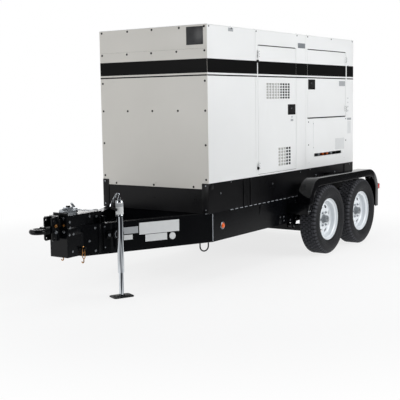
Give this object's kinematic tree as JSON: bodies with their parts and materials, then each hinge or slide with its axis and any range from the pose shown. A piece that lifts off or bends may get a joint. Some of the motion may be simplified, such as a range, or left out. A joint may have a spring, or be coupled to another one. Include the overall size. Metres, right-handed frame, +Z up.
{
  "type": "towable diesel generator",
  "caption": "Tandem-axle trailer carrying a sound-proofed diesel generator, with surge coupler, swivelling jack, hinged service doors and turning wheels.",
  "frame": {"origin": "on the ground, under the middle of the overall box", "axes": "+X towards the trailer's rear, +Y to the trailer's right side, +Z up; the towing eye is at -X"},
  "size_m": [4.5232, 1.691, 2.1685],
  "materials": {
    "white_enamel": "smooth white powder coat",
    "black_enamel": "glossy black enamel",
    "black_steel": "satin black paint on forged steel",
    "rim_enamel": "white enamel on pressed steel",
    "tyre": "moulded tyre rubber",
    "zinc": "bright zinc plate",
    "yellow_zinc": "yellow zinc plate",
    "cast_iron": "painted cast iron",
    "aluminium": "plain aluminium core",
    "black_plastic": "fine-grained moulded plastic",
    "red_plastic": "glossy red moulded plastic",
    "grey_enamel": "grey enamel"
  },
  "bodies": {
    "trailer": {"frame_rail_left": "black_enamel", "tongue_beam_left": "black_enamel", "frame_rail_right": "black_enamel", "tongue_beam_right": "black_enamel", "crossmember_front": "black_enamel", "crossmember_rear": "black_enamel", "tongue_nose": "black_enamel", "coupler_housing": "black_enamel", "master_cylinder": "zinc", "jack_mount": "black_enamel", "axle_front": "black_steel", "leaf_spring_front_left": "black_steel", "leaf_spring_front_right": "black_steel", "axle_rear": "black_steel", "leaf_spring_rear_left": "black_steel", "leaf_spring_rear_right": "black_steel", "equalizer_left": "black_steel", "fender_left": "black_enamel", "tail_lamp_left": "red_plastic", "equalizer_right": "black_steel", "fender_right": "black_enamel", "tail_lamp_right": "red_plastic", "skid_base": "black_enamel", "fuel_tank": "black_steel", "battery": "black_plastic", "enclosure_front": "white_enamel", "enclosure_rear": "white_enamel", "enclosure_roof": "white_enamel", "enclosure_left": "white_enamel", "enclosure_right": "white_enamel", "radiator": "aluminium", "engine": "cast_iron", "alternator": "grey_enamel", "muffler": "zinc", "control_panel": "grey_enamel"},
    "coupler": {"coupler_slide": "black_enamel", "lunette_ring": "black_steel"},
    "breakaway_lever": {"breakaway_lever": "zinc"},
    "safety_chain_left": {"safety_chain_left": "yellow_zinc"},
    "safety_chain_right": {"safety_chain_right": "yellow_zinc"},
    "jack_tube": {"jack_tube": "zinc"},
    "jack_leg": {"jack_leg": "zinc"},
    "jack_crank": {"jack_crank": "zinc"},
    "jack_pin": {"jack_pin": "zinc"},
    "engine_door_left": {"engine_door_left": "white_enamel"},
    "engine_door_right": {"engine_door_right": "white_enamel"},
    "control_door": {"control_door": "white_enamel"},
    "engine_latch_left": {"engine_latch_left": "black_plastic"},
    "engine_latch_right": {"engine_latch_right": "black_plastic"},
    "control_latch": {"control_latch": "black_plastic"},
    "cooling_fan": {"cooling_fan": "black_plastic"},
    "emergency_stop": {"emergency_stop": "red_plastic"},
    "wheel_front_left": {"wheel_front_left": "rim_enamel", "tyre_front_left": "tyre"},
    "wheel_front_right": {"wheel_front_right": "rim_enamel", "tyre_front_right": "tyre"},
    "wheel_rear_left": {"wheel_rear_left": "rim_enamel", "tyre_rear_left": "tyre"},
    "wheel_rear_right": {"wheel_rear_right": "rim_enamel", "tyre_rear_right": "tyre"}
  },
  "joints": [
    {"name": "wheel_spin_front_left", "type": "hinge", "parent": "trailer", "child": "wheel_front_left", "pos_m": [1.00885, -0.744, 0.345], "axis": [0, 1, 0], "continuous": true},
    {"name": "wheel_spin_front_right", "type": "hinge", "parent": "trailer", "child": "wheel_front_right", "pos_m": [1.00885, 0.744, 0.345], "axis": [0, 1, 0], "continuous": true},
    {"name": "wheel_spin_rear_left", "type": "hinge", "parent": "trailer", "child": "wheel_rear_left", "pos_m": [1.76785, -0.744, 0.345], "axis": [0, 1, 0], "continuous": true},
    {"name": "wheel_spin_rear_right", "type": "hinge", "parent": "trailer", "child": "wheel_rear_right", "pos_m": [1.76785, 0.744, 0.345], "axis": [0, 1, 0], "continuous": true},
    {"name": "engine_door_hinge_left", "type": "hinge", "parent": "trailer", "child": "engine_door_left", "pos_m": [0.03135, -0.591, 1.4425], "axis": [0, 0, -1], "range_deg": [0, 110]},
    {"name": "engine_door_hinge_right", "type": "hinge", "parent": "trailer", "child": "engine_door_right", "pos_m": [0.03135, 0.591, 1.4425], "axis": [0, 0, 1], "range_deg": [0, 110]},
    {"name": "control_door_hinge", "type": "hinge", "parent": "trailer", "child": "control_door", "pos_m": [1.88635, -0.591, 1.687], "axis": [0, 0, 1], "range_deg": [0, 110]},
    {"name": "engine_latch_pivot_left", "type": "hinge", "parent": "engine_door_left", "child": "engine_latch_left", "pos_m": [0.66935, -0.5745, 1.476], "axis": [-1, 0, 0], "range_deg": [0, 45], "stiffness_Nm_per_rad": 1.2},
    {"name": "engine_latch_pivot_right", "type": "hinge", "parent": "engine_door_right", "child": "engine_latch_right", "pos_m": [0.66935, 0.5745, 1.476], "axis": [1, 0, 0], "range_deg": [0, 45], "stiffness_Nm_per_rad": 1.2},
    {"name": "control_latch_pivot", "type": "hinge", "parent": "control_door", "child": "control_latch", "pos_m": [1.08635, -0.5745, 1.718], "axis": [-1, 0, 0], "range_deg": [0, 45], "stiffness_Nm_per_rad": 1.2},
    {"name": "surge_slide", "type": "slide", "parent": "trailer", "child": "coupler", "axis": [1, 0, 0], "range_m": [0, 0.03]},
    {"name": "breakaway_pivot", "type": "hinge", "parent": "trailer", "child": "breakaway_lever", "pos_m": [-1.74465, 0.033, 0.698], "axis": [0, -1, 0], "range_deg": [0, 25]},
    {"name": "chain_swing_left", "type": "hinge", "parent": "trailer", "child": "safety_chain_left", "pos_m": [-1.81965, -0.108, 0.415], "axis": [0, 1, 0], "range_deg": [-18, 60]},
    {"name": "chain_swing_right", "type": "hinge", "parent": "trailer", "child": "safety_chain_right", "pos_m": [-1.81965, 0.108, 0.415], "axis": [0, 1, 0], "range_deg": [-18, 60]},
    {"name": "jack_swivel", "type": "hinge", "parent": "trailer", "child": "jack_tube", "pos_m": [-1.54059, -0.20681, 0.5], "axis": [-0.4184, -0.9083, 0], "range_deg": [0, 90]},
    {"name": "jack_lift", "type": "slide", "parent": "jack_tube", "child": "jack_leg", "axis": [0, 0, 1], "range_m": [-0.2, 0.17]},
    {"name": "jack_crank_spin", "type": "hinge", "parent": "jack_tube", "child": "jack_crank", "pos_m": [-1.57071, -0.2722, 0.77], "axis": [0, 0, 1], "continuous": true},
    {"name": "jack_pin_pull", "type": "slide", "parent": "jack_tube", "child": "jack_pin", "axis": [-0.4184, -0.9083, 0], "range_m": [0, 0.02], "stiffness_N_per_m": 1500},
    {"name": "fan_spin", "type": "hinge", "parent": "trailer", "child": "cooling_fan", "pos_m": [-0.34465, 0, 1.27], "axis": [1, 0, 0], "continuous": true},
    {"name": "emergency_stop_press", "type": "slide", "parent": "trailer", "child": "emergency_stop", "axis": [0, 1, 0], "range_m": [0, 0.0035], "stiffness_N_per_m": 2500}
  ]
}
